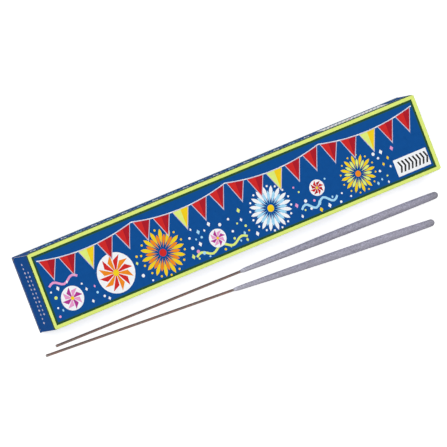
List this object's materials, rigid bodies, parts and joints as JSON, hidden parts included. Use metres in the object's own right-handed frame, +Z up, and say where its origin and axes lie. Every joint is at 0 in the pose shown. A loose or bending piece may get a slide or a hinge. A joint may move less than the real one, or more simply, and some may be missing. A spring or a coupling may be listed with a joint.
{
  "type": "sparkler",
  "caption": "Flat printed tuck-end carton of hand-held sparklers, dipped wire sparklers packed inside and a loose pair lying beside it.",
  "frame": {"origin": "centre of the carton's back panel, on its outer face, which rests on the table", "axes": "+X along the carton toward the coated heads, +Y across it away from the loose pair, +Z up out of the printed front panel"},
  "size_m": [0.1546, 0.0454, 0.0146],
  "materials": {
    "printed_board": "gloss varnished print on white-lined board",
    "dipped_composition": "matte, dipped and dried",
    "copper_washed_wire": "copper-washed drawn steel"
  },
  "bodies": {
    "carton": {"carton_sleeve": "printed_board", "packed_sparkler_1_wire": "copper_washed_wire", "packed_sparkler_1_coat": "dipped_composition", "packed_sparkler_2_wire": "copper_washed_wire", "packed_sparkler_2_coat": "dipped_composition", "packed_sparkler_3_wire": "copper_washed_wire", "packed_sparkler_3_coat": "dipped_composition", "packed_sparkler_4_wire": "copper_washed_wire", "packed_sparkler_4_coat": "dipped_composition", "packed_sparkler_5_wire": "copper_washed_wire", "packed_sparkler_5_coat": "dipped_composition", "packed_sparkler_6_wire": "copper_washed_wire", "packed_sparkler_6_coat": "dipped_composition", "packed_sparkler_7_wire": "copper_washed_wire", "packed_sparkler_7_coat": "dipped_composition", "packed_sparkler_8_wire": "copper_washed_wire", "packed_sparkler_8_coat": "dipped_composition"},
    "left_end_flap_body": {"left_end_flap": "printed_board"},
    "left_tuck_flap_body": {"left_tuck_flap": "printed_board"},
    "left_dust_flap_near_body": {"left_dust_flap_near": "printed_board"},
    "left_dust_flap_far_body": {"left_dust_flap_far": "printed_board"},
    "right_end_flap_body": {"right_end_flap": "printed_board"},
    "right_tuck_flap_body": {"right_tuck_flap": "printed_board"},
    "right_dust_flap_near_body": {"right_dust_flap_near": "printed_board"},
    "right_dust_flap_far_body": {"right_dust_flap_far": "printed_board"},
    "loose_sparkler_1": {"loose_sparkler_1_wire": "copper_washed_wire", "loose_sparkler_1_coat": "dipped_composition"},
    "loose_sparkler_2": {"loose_sparkler_2_wire": "copper_washed_wire", "loose_sparkler_2_coat": "dipped_composition"}
  },
  "joints": [
    {"name": "left_end_flap_crease", "type": "hinge", "parent": "carton", "child": "left_end_flap_body", "pos_m": [-0.0762, 0, 0.0143], "axis": [0, 1, 0], "range_deg": [0, 100]},
    {"name": "left_tuck_flap_crease", "type": "hinge", "parent": "left_end_flap_body", "child": "left_tuck_flap_body", "pos_m": [-0.076, 0, 0.00125], "axis": [0, -1, 0], "range_deg": [0, 40]},
    {"name": "left_dust_flap_near_crease", "type": "hinge", "parent": "carton", "child": "left_dust_flap_near_body", "pos_m": [-0.07568, -0.01345, 0.0075], "axis": [0, 0, 1], "range_deg": [0, 60]},
    {"name": "left_dust_flap_far_crease", "type": "hinge", "parent": "carton", "child": "left_dust_flap_far_body", "pos_m": [-0.07568, 0.01345, 0.0075], "axis": [0, 0, -1], "range_deg": [0, 60]},
    {"name": "right_end_flap_crease", "type": "hinge", "parent": "carton", "child": "right_end_flap_body", "pos_m": [0.0762, 0, 0.0143], "axis": [0, -1, 0], "range_deg": [0, 100]},
    {"name": "right_tuck_flap_crease", "type": "hinge", "parent": "right_end_flap_body", "child": "right_tuck_flap_body", "pos_m": [0.076, 0, 0.00125], "axis": [0, 1, 0], "range_deg": [0, 40]},
    {"name": "right_dust_flap_near_crease", "type": "hinge", "parent": "carton", "child": "right_dust_flap_near_body", "pos_m": [0.07568, -0.01345, 0.0075], "axis": [0, 0, -1], "range_deg": [0, 60]},
    {"name": "right_dust_flap_far_crease", "type": "hinge", "parent": "carton", "child": "right_dust_flap_far_body", "pos_m": [0.07568, 0.01345, 0.0075], "axis": [0, 0, 1], "range_deg": [0, 60]},
    {"name": "loose_sparkler_1_lift", "type": "slide", "parent": "carton", "child": "loose_sparkler_1", "axis": [0, 0, 1], "range_m": [0, 0.06]},
    {"name": "loose_sparkler_2_lift", "type": "slide", "parent": "carton", "child": "loose_sparkler_2", "axis": [0, 0, 1], "range_m": [0, 0.06]}
  ],
  "couplings": [
    {"joint": "left_dust_flap_near_crease", "follows": "left_end_flap_crease", "ratio": 0.6},
    {"joint": "left_dust_flap_far_crease", "follows": "left_end_flap_crease", "ratio": 0.6},
    {"joint": "left_tuck_flap_crease", "follows": "left_end_flap_crease", "ratio": 0.4},
    {"joint": "right_dust_flap_near_crease", "follows": "right_end_flap_crease", "ratio": 0.6},
    {"joint": "right_dust_flap_far_crease", "follows": "right_end_flap_crease", "ratio": 0.6},
    {"joint": "right_tuck_flap_crease", "follows": "right_end_flap_crease", "ratio": 0.4}
  ]
}
